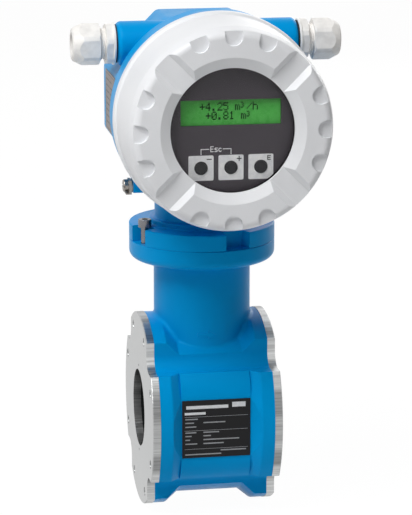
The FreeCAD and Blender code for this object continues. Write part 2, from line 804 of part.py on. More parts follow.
def cover_ring():
    """Cast screw cover: stepped conical wall, grooved face and scalloped rim round the window."""
    base_end = COVER_BACK + COVER_BASE_W
    seat = glass_front() + GASKET_T
    glass_bore_end = glass_front() - GLASS_T - RETAINER_T - GLASS_BORE_EXTRA
    body = about_head([
        (COVER_BACK, COLLAR_THREAD_R + THREAD_ROOM), (COVER_BACK, COVER_BASE_R, EDGE),
        (base_end, COVER_BASE_R, EDGE), (base_end + COVER_BASE_SLOPE, COVER_WALL_R, EDGE),
        (COVER_FRONT - COVER_RIM_L, COVER_RIM_R, CAST_EDGE),
        (COVER_FRONT, COVER_RIM_R - COVER_RIM_DROP, COVER_ROUND), (COVER_FRONT, BEVEL_R, EDGE),
        (WINDOW_EDGE, WINDOW_R), (seat, WINDOW_R), (seat, GLASS_R + SNUG), (glass_bore_end, GLASS_R + SNUG),
        (SHOULDER + INNER_TAPER, INNER_R, CAST_EDGE), (SHOULDER, INNER_R),
        (SHOULDER, COLLAR_THREAD_R + THREAD_ROOM),
    ])
    axis_point = V(0, 0, HEAD_Z)
    for cutter in around(radial_groove(), 4, Y, axis_point, 45):
        body = body.cut(cutter)
    for quarter in range(4):
        for step in (-1, 0, 1):
            cutter = scallop()
            cutter.rotate(axis_point, Y, 90 * quarter + step * SCALLOP_STEP)
            body = body.cut(cutter)
    return body.cut(cover_seal_space())


def cover_seal_space():
    """Room for the O-ring at the foot of the cover's skirt."""
    depth = COVER_BACK + 2 * COVER_SEAL_R + FIT
    outer = COLLAR_THREAD_R + 2 * (COVER_SEAL_R + FIT)
    return about_head([
        (COVER_BACK, COLLAR_THREAD_R), (COVER_BACK, outer), (depth, outer), (depth, COLLAR_THREAD_R),
    ])


def cover_seal():
    middle = COVER_BACK + COVER_SEAL_R + SNUG
    return ring(V(0, -middle, HEAD_Z), -Y, X, COLLAR_THREAD_R + FIT + COVER_SEAL_R, COVER_SEAL_R)


def window_gasket():
    front = glass_front() + GASKET_T
    return about_head([
        (glass_front(), RETAINER_R), (front, RETAINER_R), (front, GLASS_R), (glass_front(), GLASS_R),
    ])


def window_glass():
    front = glass_front()
    return about_head([(front - GLASS_T, 0), (front - GLASS_T, GLASS_R), (front, GLASS_R), (front, 0)])


def window_retainer():
    front = glass_front() - GLASS_T
    return about_head([
        (front - RETAINER_T, RETAINER_R), (front - RETAINER_T, GLASS_R), (front, GLASS_R), (front, RETAINER_R),
    ])


# ======================= display =======================

def plate_back():
    return FRAME_FACE - FRAME_PLATE


def button_places():
    return {"button_minus": -BUTTON_PITCH, "button_plus": 0.0, "button_enter": BUTTON_PITCH}


def display_frame():
    """Dark moulded bezel that carries the display and guides the three keys."""
    foot = CARRIER_FRONT
    rim = foot + FRAME_RIM
    step = foot + FRAME_TAPER
    inner = CARRIER_R - CARRIER_WALL
    body = about_head([
        (foot, inner), (foot, CARRIER_R), (rim, CARRIER_R), (step, FRAME_R),
        (FRAME_FACE, FRAME_R, FINE_EDGE), (FRAME_FACE, 0),
        (plate_back(), 0), (plate_back(), FRAME_R - FRAME_WALL),
        (step + FINE_EDGE, FRAME_R - FRAME_WALL), (rim + FINE_EDGE, inner),
    ])
    window = block(-LCD_W / 2, LCD_W / 2, -FRAME_FACE, -plate_back(),
                   LCD_Z - LCD_H / 2, LCD_Z + LCD_H / 2)
    body = body.cut(window)
    for x in button_places().values():
        body = body.cut(rod(BUTTON_R + FIT, V(x, -plate_back(), BUTTON_Z), V(x, -FRAME_FACE, BUTTON_Z)))
    return body


def lcd_glass():
    half = LCD_W / 2 + LCD_BORDER
    rise = LCD_H / 2 + LCD_BORDER
    return block(-half, half, -plate_back(), -plate_back() + LCD_T, LCD_Z - rise, LCD_Z + rise)


def display_board():
    front = plate_back() - LCD_T
    return rod(FRAME_R - FRAME_WALL - EDGE, V(0, -front + BOARD_T, HEAD_Z), V(0, -front, HEAD_Z))


def button(name):
    """Key cap with the flange that keeps it behind the bezel, and its stem."""
    x = button_places()[name]
    flange_front = plate_back() - FIT
    flange_back = flange_front - BUTTON_FLANGE_T
    stem_back = plate_back() - LCD_T + BUTTON_TRAVEL_ROOM
    face = FRAME_FACE + BUTTON_PROUD
    return turned(V(x, 0, BUTTON_Z), -Y, X, [
        (stem_back, 0), (stem_back, BUTTON_STEM_R), (flange_back, BUTTON_STEM_R),
        (flange_back, BUTTON_FLANGE_R), (flange_front, BUTTON_FLANGE_R),
        (flange_front, BUTTON_R), (face, BUTTON_R, FINE_EDGE), (face, 0),
    ])


# ======================= electronics =======================

def electronics_carrier():
    """Plastic can that holds the boards, open at the front and at the cable entries."""
    floor = CAVITY_BACK + CARRIER_FLOOR
    inner = CARRIER_R - CARRIER_WALL
    body = about_head([
        (CAVITY_BACK, 0), (CAVITY_BACK, CARRIER_R), (CARRIER_FRONT, CARRIER_R), (CARRIER_FRONT, inner),
        (floor, inner), (floor, 0),
    ])
    sides = block(-CARRIER_R, CARRIER_R, -EAR_DEPTH - ENTRY_R, -EAR_DEPTH + ENTRY_R,
                  HEAD_Z + EAR_RISE - ENTRY_R, HEAD_Z + CARRIER_R)
    low = HEAD_Z - CARRIER_R
    bottom = rod(LEAD_HOLE_R, Z * low, Z * (low + LEAD_HOLE_H))
    return body.cut(sides).cut(bottom)


def round_board(depth):
    """Circuit board with a flat at the bottom that leaves room for the leads."""
    radius = BOARD_R
    low = HEAD_Z - radius
    board = rod(radius, V(0, -depth, HEAD_Z), V(0, -depth - BOARD_T, HEAD_Z))
    return board.cut(block(-radius, radius, -depth - BOARD_T, -depth, low, low + BOARD_FLAT))


def board_spacers():
    spacers = []
    floor = CAVITY_BACK + CARRIER_FLOOR
    for back, front in ((floor, POWER_DEPTH), (POWER_DEPTH + BOARD_T, AMPLIFIER_DEPTH)):
        for quarter in range(4):
            x, z = polar(SPACER_CIRCLE_R, 45 + 90 * quarter)
            spacers.append(rod(SPACER_R, V(x, -back, HEAD_Z + z), V(x, -front, HEAD_Z + z)))
    return group(spacers)


def terminal_places():
    return [TERMINAL_PITCH * (i - (TERMINALS - 1) / 2) for i in range(TERMINALS)]


def terminal_block():
    """Row of screw terminals on the amplifier board."""
    back = AMPLIFIER_DEPTH + BOARD_T
    front = back + TERMINAL_D
    half = TERMINALS * TERMINAL_PITCH / 2
    low = TERMINAL_Z - TERMINAL_H / 2
    screw_z = TERMINAL_Z + TERMINAL_SCREW_RISE
    body = block(-half, half, -front, -back, low, low + TERMINAL_H)
    for x in terminal_places():
        well = rod(TERMINAL_SCREW_R + SNUG, V(x, -front, screw_z), V(x, -front + TERMINAL_WELL, screw_z))
        wire = block(x - WIRE_W / 2, x + WIRE_W / 2, -back - WIRE_FAR, -back - WIRE_NEAR, low, low + WIRE_H)
        body = body.cut(well).cut(wire)
    return body


def terminal_screws():
    face = AMPLIFIER_DEPTH + BOARD_T + TERMINAL_D - TERMINAL_SCREW_SINK
    screw_z = TERMINAL_Z + TERMINAL_SCREW_RISE
    slot_half = TERMINAL_SCREW_R / 4
    screws = []
    for x in terminal_places():
        top = V(x, -face, screw_z)
        screw = rod(TERMINAL_SCREW_R, top, top + Y * TERMINAL_SCREW_H)
        slot = block(x - TERMINAL_SCREW_R, x + TERMINAL_SCREW_R, top.y, top.y + TERMINAL_SCREW_H / 3,
                     screw_z - slot_half, screw_z + slot_half)
        screws.append(screw.cut(slot))
    return group(screws)


# ======================= cable glands =======================

def gland_origin(side):
    """Centre of the ear face."""
    return ear_axis() + X * (side * EAR_END)


def about_gland(side, profile):
    return turned(gland_origin(side), X * side, Z, profile)


def hex_trimmed(side, start, end, turn, lathe):
    """Hexagonal bar trimmed by a turned outline."""
    origin = gland_origin(side) + X * (side * start)
    return hexagon(HEX, origin, -Y, Z, X * (side * (end - start)), turn).common(lathe)


def gland_seal(side):
    inner = ENTRY_R
    outer = HEX / 2
    return about_gland(side, [(0, inner), (0, outer), (GLAND_SEAL_T, outer), (GLAND_SEAL_T, inner)])


def gland_body(side):
    """Fixed half of a gland: thread in the ear, round foot, hexagon and threaded spigot."""
    foot_end = GLAND_SEAL_T + GLAND_RING_T
    lathe = about_gland(side, [
        (foot_end, 0), (foot_end, HEX_CORNER_R), (GLAND_HEX_END, HEX_CORNER_R, EDGE), (GLAND_HEX_END, 0),
    ])
    body = hex_trimmed(side, foot_end, GLAND_HEX_END, BODY_TURN[side], lathe)
    body = body.fuse(about_gland(side, [
        (-GLAND_THREAD_L, 0), (-GLAND_THREAD_L, ENTRY_R - SNUG, EDGE), (GLAND_SEAL_T, ENTRY_R - SNUG),
        (GLAND_SEAL_T, HEX_CORNER_R, FINE_EDGE), (foot_end, HEX_CORNER_R, FINE_EDGE),
        (foot_end, GLAND_SPIGOT_R),
        (GLAND_SPIGOT_END, GLAND_SPIGOT_R, FINE_EDGE), (GLAND_SPIGOT_END, 0),
    ]))
    mouth = GLAND_SPIGOT_END - GLAND_MOUTH_L
    return body.cut(about_gland(side, [
        (-GLAND_THREAD_L, 0), (-GLAND_THREAD_L, GLAND_BORE_R), (mouth, GLAND_BORE_R),
        (mouth, GLAND_MOUTH_R), (GLAND_SPIGOT_END, GLAND_MOUTH_R), (GLAND_SPIGOT_END, 0),
    ]))


def gland_bush(side):
    """Rubber bush squeezed round the cable by the nut."""
    start = GLAND_SPIGOT_END - GLAND_MOUTH_L + FIT
    outer = GLAND_MOUTH_R - FIT
    return about_gland(side, [
        (start, BUSH_BORE_R), (start, outer), (BUSH_END, outer, EDGE), (BUSH_END, BUSH_BORE_R),
    ])


def gland_nut(side):
    """Domed hexagonal clamping nut."""
    lathe = about_gland(side, [
        (NUT_START, 0), (NUT_START, HEX_CORNER_R, EDGE), (NUT_END - NUT_DOME_L, HEX_CORNER_R, CAST_EDGE),
        (NUT_END, HEX / 2 - NUT_DOME_DROP, CAST_EDGE), (NUT_END, 0),
    ])
    body = hex_trimmed(side, NUT_START, NUT_END, NUT_TURN[side], lathe)
    wall = NUT_END - NUT_WALL
    bore = GLAND_SPIGOT_R + THREAD_ROOM
    return body.cut(about_gland(side, [
        (NUT_START, 0), (NUT_START, bore), (wall, bore), (wall, NUT_HOLE_R),
        (NUT_END, NUT_HOLE_R + FINE_EDGE), (NUT_END, 0),
    ]))


# ======================= all the pieces =======================

def pieces():
    made = {
        "sensor_housing": sensor_housing(),
        "measuring_tube": measuring_tube(),
        "flux_return": flux_return(),
        "electrode_nuts": electrode_nuts(),
        "sensor_nameplate": sensor_nameplate(),
        "neck_seal": neck_seal(),
        "securing_screws": securing_screws(),
        "transmitter_housing": transmitter_housing(),
        "housing_nameplate": housing_nameplate(),
        "ground_screw": ground_screw(),
        "ground_clamp": ground_clamp(),
        "ground_washer": ground_washer(),
        "cover_ring": cover_ring(),
        "cover_seal": cover_seal(),
        "window_gasket": window_gasket(),
        "window_glass": window_glass(),
        "window_retainer": window_retainer(),
        "display_frame": display_frame(),
        "lcd_glass": lcd_glass(),
        "display_board": display_board(),
        "electronics_carrier": electronics_carrier(),
        "power_board": round_board(POWER_DEPTH),
        "amplifier_board": round_board(AMPLIFIER_DEPTH),
        "board_spacers": board_spacers(),
        "terminal_block": terminal_block(),
        "terminal_screws": terminal_screws(),
    }
    for name in button_places():
        made[name] = button(name)
    for side, word in ((-1, "left"), (1, "right")):
        made["tube_seal_" + word] = tube_seal(side)
        made["ground_disk_" + word] = ground_disk(side)
        made["disk_screws_" + word] = disk_screws(side)
        made["gland_seal_" + word] = gland_seal(side)
        made["gland_body_" + word] = gland_body(side)
        made["gland_bush_" + word] = gland_bush(side)
        made["gland_nut_" + word] = gland_nut(side)
    for side, word in ((-1, "lower"), (1, "upper")):
        made["pole_core_" + word] = pole_core(side)
        made["coil_" + word] = coil(side)
    for side, word in ((-1, "front"), (1, "rear")):
        made["electrode_" + word] = electrode(side)
    return made


os.makedirs("parts", exist_ok=True)
for name, shape in pieces().items():
    shape.exportStep("parts/%s.step" % name)
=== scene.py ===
import math

import bmesh
import bpy
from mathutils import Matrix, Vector


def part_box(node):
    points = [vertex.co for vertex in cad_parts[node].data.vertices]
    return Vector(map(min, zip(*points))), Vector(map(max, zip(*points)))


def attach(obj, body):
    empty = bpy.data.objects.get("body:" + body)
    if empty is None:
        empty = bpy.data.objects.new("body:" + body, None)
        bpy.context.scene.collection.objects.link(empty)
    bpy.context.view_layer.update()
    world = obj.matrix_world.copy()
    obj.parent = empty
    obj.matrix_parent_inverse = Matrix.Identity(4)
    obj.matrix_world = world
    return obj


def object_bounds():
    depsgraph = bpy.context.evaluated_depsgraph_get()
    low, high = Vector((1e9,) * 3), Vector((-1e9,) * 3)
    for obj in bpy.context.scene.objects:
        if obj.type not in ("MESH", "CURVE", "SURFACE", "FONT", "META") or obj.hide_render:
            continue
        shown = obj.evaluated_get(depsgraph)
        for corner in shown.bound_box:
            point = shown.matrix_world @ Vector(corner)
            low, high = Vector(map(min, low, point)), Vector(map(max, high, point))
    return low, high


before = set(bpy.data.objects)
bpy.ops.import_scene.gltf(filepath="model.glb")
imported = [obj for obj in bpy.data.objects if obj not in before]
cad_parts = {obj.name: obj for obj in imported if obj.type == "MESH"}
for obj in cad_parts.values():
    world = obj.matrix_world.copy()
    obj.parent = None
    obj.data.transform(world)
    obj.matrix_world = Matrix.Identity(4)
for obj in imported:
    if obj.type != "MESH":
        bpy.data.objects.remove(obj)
CAD_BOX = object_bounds()
MM = 0.001      # sketches are in millimetres, the scene is in metres

# ---- camera: the angle and distance from which the object is seen ----
CAMERA_AIM = Vector((0.0028, 0.0, 0.0982))
CAMERA_DISTANCE = 1.5492
CAMERA_AZIMUTH = math.radians(-9.82)
CAMERA_ELEVATION = math.radians(13.19)
CAMERA_LENS = 168.0
CAMERA_SENSOR = 36.0

# ---- lamps: name, place, width and height in metres, power in watts ----
LAMP_AIM = (0.0, 0.0, 0.1)
LAMPS = (
    ("light_main", (-0.8, -0.7, 1.55), 1.0, 0.9, 21.0),
    ("light_front", (-0.35, -0.97, 1.7), 1.2, 1.0, 8.5),
    ("light_left", (-1.4, -0.15, 0.35), 0.8, 1.4, 1.5),
    ("light_back", (0.9, 1.4, 0.8), 1.0, 1.2, 9.0),
)

# ---- floor and world ----
FLOOR_HALF = 6.0
FLOOR_COLOR = (0.82, 0.82, 0.82, 1.0)
FLOOR_GLOW = 1.03
FLOOR_GLOW_SHARE = 0.95     # the rest of what is seen of the floor keeps the object's shadow
WORLD_AS_LIGHT = 0.08
WORLD_AS_SEEN = 1.0
PURE_WHITE = (1.0, 1.0, 1.0, 1.0)

# ---- colours, linear ----
BLUE = (0.0, 0.31, 0.70)
BLUE_GLOSS = (0.2, 0.7, 1.0, 1.0)
WHITE = (0.82, 0.83, 0.85)
GLAND_GREY = (0.90, 0.88, 0.85)
STEEL = (0.62, 0.63, 0.63)
DARK_STEEL = (0.20, 0.20, 0.21)
TERMINAL_STEEL = (0.30, 0.28, 0.26)
RETAINER_STEEL = (0.35, 0.35, 0.36)
PLATE_METAL = (0.27, 0.24, 0.23)
COPPER = (0.62, 0.22, 0.08)
BRASS = (0.60, 0.44, 0.17)
ANTHRACITE = (0.054, 0.046, 0.056)
CARRIER_BLACK = (0.02, 0.02, 0.022)
LINING_BLACK = (0.010, 0.012, 0.012)
RUBBER_BLACK = (0.012, 0.012, 0.012)
PLATE_BLACK = (0.008, 0.008, 0.009)
KEY_BLACK = (0.006, 0.006, 0.008)
GLASS_FILM = (0.02, 0.02, 0.02)
LCD_GREEN = (0.105, 0.570, 0.100)
LCD_SEGMENT = (0.004, 0.012, 0.006)
BOARD_GREEN = (0.01, 0.10, 0.04)
PRINT_PALE = (0.95, 0.96, 0.98)
PRINT_DARK = (0.02, 0.02, 0.022)
PLATE_PRINT_BRIGHT = (0.75, 0.76, 0.77)
PLATE_PRINT_DIM = (0.30, 0.31, 0.32)
PLATE_PRINT_DARK = (0.03, 0.03, 0.03)

# ---- grain: noise cells per metre along X, Y and Z ----
DISK_STREAKS = (15.0, 1300.0, 1300.0)
DISK_BANDS = (0.0, 70.0, 70.0)
PLATE_GRAIN = (40.0, 900.0, 40.0)
PEEL_DEPTH = 0.0004         # metres, orange peel of the powder coat
GRAIN_DEPTH = 0.0002        # metres, every other relief

# ---- the disks' bore wall: painted shade, dark up to the first radius, plain from the second, metres ----
BORE_PAINTED_SHADE_R = 0.0258
BORE_PLAIN_R = 0.0272


# ======================= shader helpers =======================

def put(tree, value, socket):
    """Set a socket, or link it where the value is another node's output."""
    if isinstance(value, bpy.types.NodeSocket):
        tree.links.new(value, socket)
    else:
        socket.default_value = value


def add_node(tree, kind, *values, **named):
    """Shader node; values fill its inputs in order, or by name with _ for a space."""
    made = tree.nodes.new("ShaderNode" + kind)
    for value, socket in zip(values, made.inputs):
        put(tree, value, socket)
    for name, value in named.items():
        put(tree, value, made.inputs[name.replace("_", " ")])
    return made


def calculate(tree, operation, *values):
    """Output of a Math node."""
    made = add_node(tree, "Math", *values)
    made.operation = operation
    return made.outputs[0]


class Shader:
    """A Principled material with short ways to add nodes."""

    def __init__(self, name, color, roughness, metallic=0.0, **sockets):
        self.material = bpy.data.materials.new(name)
        self.material.use_nodes = True
        self.tree = self.material.node_tree
        self.bsdf = self.tree.nodes["Principled BSDF"]
        self.bsdf.inputs["Base Color"].default_value = (*color, 1.0)
        self.bsdf.inputs["Roughness"].default_value = roughness
        self.bsdf.inputs["Metallic"].default_value = metallic
        for socket, value in sockets.items():
            self.bsdf.inputs[socket.replace("_", " ")].default_value = value

    def node(self, kind, *values, **named):
        return add_node(self.tree, kind, *values, **named)

    def coordinates(self, kind):
        return self.node("TexCoord").outputs[kind]

    def stretched(self, scale):
        """Object coordinates scaled differently along each axis."""
        return self.node("Mapping", Vector=self.coordinates("Object"), Scale=scale).outputs["Vector"]

    def noise(self, scale, detail=2.0):
        """Even noise, scale cells to the metre."""
        position = self.coordinates("Object")
        return self.node("TexNoise", Vector=position, Scale=scale, Detail=detail).outputs["Fac"]

    def grain(self, cells, detail=4.0, roughness=0.7):
        """Noise stretched along one axis, as grinding or turning leaves it."""
        return self.node("TexNoise", Vector=self.stretched(cells), Scale=1.0, Detail=detail,
                         Roughness=roughness).outputs["Fac"]

    def ramp(self, fac, low, high, start=0.35, end=0.65):
        """Blend between two colours or greys."""
        made = self.node("ValToRGB", fac)
        for element, position, value in zip(made.color_ramp.elements, (start, end), (low, high)):
            color = value if isinstance(value, tuple) else (value,) * 3
            element.position = position
            element.color = (*color, 1.0)
        return made.outputs["Color"]

    def mixed(self, fac, first, second, blend="MIX"):
        made = self.node("MixRGB", fac, first, second)
        made.blend_type = blend
        return made.outputs["Color"]

    def color_from(self, output):
        put(self.tree, output, self.bsdf.inputs["Base Color"])

    def roughness_from(self, output):
        put(self.tree, output, self.bsdf.inputs["Roughness"])

    def bump(self, height, strength, distance=GRAIN_DEPTH):
        made = self.node("Bump", Height=height, Strength=strength, Distance=distance)
        put(self.tree, made.outputs["Normal"], self.bsdf.inputs["Normal"])


def shade(color, factor):
    return tuple(min(1.0, c * factor) for c in color)


# ======================= materials =======================

def powder_coat(name, color, roughness, gloss, tint=PURE_WHITE):
    """Sprayed powder coat: faint orange peel, slight drift of tone and gloss."""
    m = Shader(name, color, roughness, Specular_IOR_Level=gloss, Specular_Tint=tint)
    m.color_from(m.ramp(m.noise(9.0), shade(color, 0.95), shade(color, 1.04)))
    m.roughness_from(m.ramp(m.noise(60.0, 3.0), roughness - 0.05, roughness + 0.06))
    m.bump(m.noise(900.0), 0.10, PEEL_DEPTH)
    return m.material


def ground_disk_steel():
    """Stainless disk: matt ground faces, a turned rim with streaks across its thickness, and painted shade
    on the bore wall.
    """
    m = Shader("ground_disk_steel", STEEL, 0.34, metallic=1.0)
    streaks = m.grain(DISK_STREAKS)
    bands = m.grain(DISK_BANDS, 1.0, 0.5)
    lines = m.ramp(streaks, shade(STEEL, 0.62), STEEL, 0.38, 0.62)
    tone = m.ramp(bands, 0.50, 1.0, 0.38, 0.60)
    rim = m.mixed(1.0, lines, tone, "MULTIPLY")
    # Painted shade: the steel darkens towards the bore's axis, standing in for the shade on the bore wall.
    radius = m.node("VectorMath", m.stretched((0.0, 1.0, 1.0)))
    radius.operation = "LENGTH"
    bore_shade = m.ramp(radius.outputs["Value"], 0.42, 1.0, BORE_PAINTED_SHADE_R, BORE_PLAIN_R)
    turned = m.mixed(1.0, rim, bore_shade, "MULTIPLY")
    face = m.ramp(streaks, shade(STEEL, 0.68), shade(STEEL, 0.80))
    normal = m.node("SeparateXYZ", m.coordinates("Normal"))
    sideways = calculate(m.tree, "ABSOLUTE", normal.outputs["X"])
    m.color_from(m.mixed(sideways, turned, face))
    m.roughness_from(m.ramp(streaks, 0.28, 0.42))
    m.bump(streaks, 0.25)
    return m.material


def brushed_plate_metal():
    """Metal label on the head's flank, with upright brush marks."""
    m = Shader("plate_metal", PLATE_METAL, 0.5, metallic=1.0)
    marks = m.grain(PLATE_GRAIN)
    m.color_from(m.ramp(marks, shade(PLATE_METAL, 0.80), shade(PLATE_METAL, 1.12)))
    m.roughness_from(m.ramp(marks, 0.43, 0.60))
    m.bump(marks, 0.25)
    return m.material


def plain(name, color, roughness, metallic=0.0, cells=400.0, relief=0.1, **sockets):
    """Moulded or turned small part with a fine, even texture."""
    m = Shader(name, color, roughness, metallic, **sockets)
    field = m.noise(cells, 3.0)
    m.color_from(m.ramp(field, shade(color, 0.93), shade(color, 1.05)))
    m.roughness_from(m.ramp(field, roughness - 0.05, roughness + 0.06))
    m.bump(field, relief)
    return m.material


def metal(name, color, roughness):
    return plain(name, color, roughness, metallic=1.0)


def printed(name, color):
    return plain(name, color, 0.45, relief=0.02)


def window_glass():
    """Clear glass: almost all see-through, with a faint grey film and a sharp gloss."""
    m = Shader("window_glass", GLASS_FILM, 0.03, IOR=1.5, Alpha=0.06)
    m.roughness_from(m.ramp(m.noise(25.0), 0.02, 0.045))
    return m.material


def dress(material, *names):
    for name in names:
        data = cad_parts[name].data
        data.materials.clear()
        data.materials.append(material)


def finish_of(node):
    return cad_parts[node].data.materials[0]


def both(stem):
    return stem + "_left", stem + "_right"


def dress_sensor():
    dress(ground_disk_steel(), *both("ground_disk"))
    dress(plain("lining_polyamide", LINING_BLACK, 0.75, Specular_IOR_Level=0.05), "measuring_tube")
    dress(metal("soft_iron", DARK_STEEL, 0.55), "pole_core_upper", "pole_core_lower", "flux_return")
    dress(metal("coil_copper", COPPER, 0.4), "coil_upper", "coil_lower")
    dress(plain("plate_black", PLATE_BLACK, 0.4, Specular_IOR_Level=0.2), "sensor_nameplate")
    dress(metal("dark_screw_steel", DARK_STEEL, 0.25), "securing_screws")


def dress_head():
    dress(metal("terminal_steel", TERMINAL_STEEL, 0.3), "ground_screw", "ground_washer", "ground_clamp")
    dress(brushed_plate_metal(), "housing_nameplate")
    dress(plain("carrier_plastic", CARRIER_BLACK, 0.55), "electronics_carrier", "terminal_block")
    dress(plain("board_green", BOARD_GREEN, 0.35), "display_board", "power_board", "amplifier_board")
    dress(metal("spacer_brass", BRASS, 0.3), "board_spacers")
    dress(plain("anthracite_plastic", ANTHRACITE, 0.5), "display_frame")
    dress(plain("lcd_green", LCD_GREEN, 0.3, relief=0.02, Specular_IOR_Level=0.2), "lcd_glass")
    dress(plain("key_black", KEY_BLACK, 0.5), *KEY_NODES)


def dress_cover():
    dress(powder_coat("white_powder_coat", WHITE, 0.38, 0.35), "cover_ring")
    dress(window_glass(), "window_glass")
    dress(metal("retainer_steel", RETAINER_STEEL, 0.4), "window_retainer")


def dress_shared():
    """Finishes that pieces of more than one assembly have."""
    dress(powder_coat("blue_powder_coat", BLUE, 0.36, 0.12, BLUE_GLOSS),
          "sensor_housing", "transmitter_housing")
    dress(plain("seal_rubber", RUBBER_BLACK, 0.65), *both("tube_seal"), "neck_seal", "cover_seal",
          "window_gasket", *both("gland_seal"), *both("gland_bush"))
    dress(metal("screw_steel", STEEL, 0.25), *both("disk_screws"), "terminal_screws",
          "electrode_front", "electrode_rear", "electrode_nuts")
    dress(plain("gland_polyamide", GLAND_GREY, 0.42, cells=200.0, Specular_IOR_Level=0.3),
          *both("gland_body"), *both("gland_nut"))


# ======================= pieces drawn on the CAD, millimetres =======================

PRINT_H = 0.12
LAYER_STEP = 0.003      # each bar of a stroke stands this much above the one before, where they cross


def add_piece(bm, name, material, body):
    bmesh.ops.recalc_face_normals(bm, faces=bm.faces)
    mesh = bpy.data.meshes.new(name)
    bm.to_mesh(mesh)
    bm.free()
    mesh.materials.append(material)
    made = bpy.data.objects.new(name, mesh)
    bpy.context.scene.collection.objects.link(made)
    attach(made, body)


def bridge(bm, first, second):
    """Band of faces between two rings of vertices."""
    count = len(first)
    for i in range(count):
        j = (i + 1) % count
        bm.faces.new((first[i], first[j], second[j], second[i]))


def join_loops(bm, loops):
    """Closed skin over rings of vertices, the last ring joined to the first."""
    for first, second in zip(loops, loops[1:] + loops[:1]):
        bridge(bm, first, second)


class Sketch:
    """Mesh of thin slabs in a plane: u and v across it, w out of it."""

    def __init__(self, origin, u, v, w):
        self.origin, self.u, self.v, self.w = Vector(origin), Vector(u), Vector(v), Vector(w)
        self.bm = bmesh.new()
        self.layers = 0

    def ring(self, outline, w):
        """Vertices of an outline of (u, v) points at the height w."""
        base = self.origin + self.w * w
        return [self.bm.verts.new((base + self.u * u + self.v * v) * MM) for u, v in outline]

    def slab(self, outline, low, high):
        """Closed slab on an outline of (u, v) points."""
        bottom, top = self.ring(outline, low), self.ring(outline, high)
        self.bm.faces.new(top)
        self.bm.faces.new(bottom[::-1])
        bridge(self.bm, bottom, top)

    def bar(self, u0, u1, v0, v1, low=0.0, high=0.05):
        self.slab([(u0, v0), (u1, v0), (u1, v1), (u0, v1)], low, high)

    def stroke(self, points, width, low=0.0, high=0.05):
        """Line of even width through (u, v) points, one bar a segment, each a hair above the last."""
        for start, end in zip(points, points[1:]):
            self.layers += 1
            way = (Vector(end) - Vector(start)).normalized() * (width / 2)
            side = Vector((-way.y, way.x))
            a, b = Vector(start) - way, Vector(end) + way
            self.slab([a - side, b - side, b + side, a + side], low, high + LAYER_STEP * self.layers)

    def holed(self, outer, inner, low, high):
        """Slab between two outlines with the same number of points."""
        join_loops(self.bm, [self.ring(inner, low), self.ring(outer, low),
                             self.ring(outer, high), self.ring(inner, high)])

    def piece(self, name, material, body, slot):
        add_piece(self.bm, name, material, body)


def middle(node):
    low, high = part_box(node)
    return (low + high) / 2 / MM


def front_of(node, x, z):
    """Sketch on the front face of a CAD node; u runs along +X and v along +Z."""
    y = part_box(node)[0].y / MM
    return Sketch((x, y, z), (1, 0, 0), (0, 0, 1), (0, -1, 0))


def display_sketch(node):
    """Sketch on the front of a node behind the window, measured from the head's axis."""
    centre = middle("display_frame")
    return front_of(node, centre.x, centre.z)


def from_head_axis(node):
    """Where the middle of a node is in a display sketch."""
    place = middle(node) - middle("display_frame")
    return place.x, place.z


def moved(points, across, up):
    return [(across + u, up + v) for u, v in points]


# ---- liquid crystal display: the text, its left edge and its top, from the head's axis ----
READING = (("+4.25 m3/h", -18.6, 15.8), ("+0.81 m3", -15.0, 10.4))
CHARACTER_PITCH = 3.55
DOT_W = 0.62
DOT_H = 0.70
DOT_SUNK = 0.05
GLYPHS = {
    "+": ("", "..#..", "..#..", "#####", "..#..", "..#..", ""),
    "4": ("...#.", "..##.", ".#.#.", "#..#.", "#####", "...#.", "...#."),
    "2": (".###.", "#...#", "....#", "...#.", "..#..", ".#...", "#####"),
    "5": ("#####", "#....", "####.", "....#", "....#", "#...#", ".###."),
    "0": (".###.", "#...#", "#..##", "#.#.#", "##..#", "#...#", ".###."),
    "8": (".###.", "#...#", "#...#", ".###.", "#...#", "#...#", ".###."),
    "1": ("..#..", ".##..", "..#..", "..#..", "..#..", "..#..", ".###."),
    ".": ("", "", "", "", "", ".##..", ".##.."),
    "m": ("", "", "##.#.", "#.#.#", "#.#.#", "#.#.#", "#.#.#"),
    "h": ("#....", "#....", "####.", "#...#", "#...#", "#...#", "#...#"),
    "/": ("", "....#", "...#.", "..#..", ".#...", "#....", ""),
    "3": ("##...", "..#..", ".#...", "..#..", "##...", "", ""),     # small and raised
    " ": ("",) * 7,
}


def write_line(sketch, text, left, top):
    for place, sign in enumerate(text):
        for row, dots in enumerate(GLYPHS[sign]):
            for column, dot in enumerate(dots):
                if dot != "#":
                    continue
                u = left + place * CHARACTER_PITCH + column * DOT_W
                v = top - row * DOT_H
                sketch.bar(u, u + DOT_W, v - DOT_H, v, -DOT_SUNK, PRINT_H)


def make_reading(dark):
    sketch = display_sketch("lcd_glass")
    for text, left, top in READING:
        write_line(sketch, text, left, top)
    sketch.piece("lcd_reading", dark, "head", "display")


# ---- printing round the keys ----
KEY_NODES = ("button_minus", "button_plus", "button_enter")
KEY_SQUARE = 15.2
KEY_CORNER = 0.9
KEY_HOLE_R = 4.1
BEZEL_PRINT_R = 37.9        # the print ends here, inside the round window
OUTLINE_STEPS = 144

MARK_PLACE = (4.9, 5.3)     # from the middle of the key
SIGN_WIDTH = 0.55
LETTER_WIDTH = 0.5
ACROSS = ((-1.2, 0.0), (1.2, 0.0))
UPRIGHT = ((0.0, -1.2), (0.0, 1.2))
LETTER_E = ((0.8, 1.2), (-0.8, 1.2), (-0.8, -1.2), (0.8, -1.2))
LETTER_E_BAR = ((-0.8, 0.0), (0.6, 0.0))
KEY_MARKS = (
    ("button_minus", SIGN_WIDTH, (ACROSS,)),
    ("button_plus", SIGN_WIDTH, (ACROSS, UPRIGHT)),
    ("button_enter", LETTER_WIDTH, (LETTER_E, LETTER_E_BAR)),
)


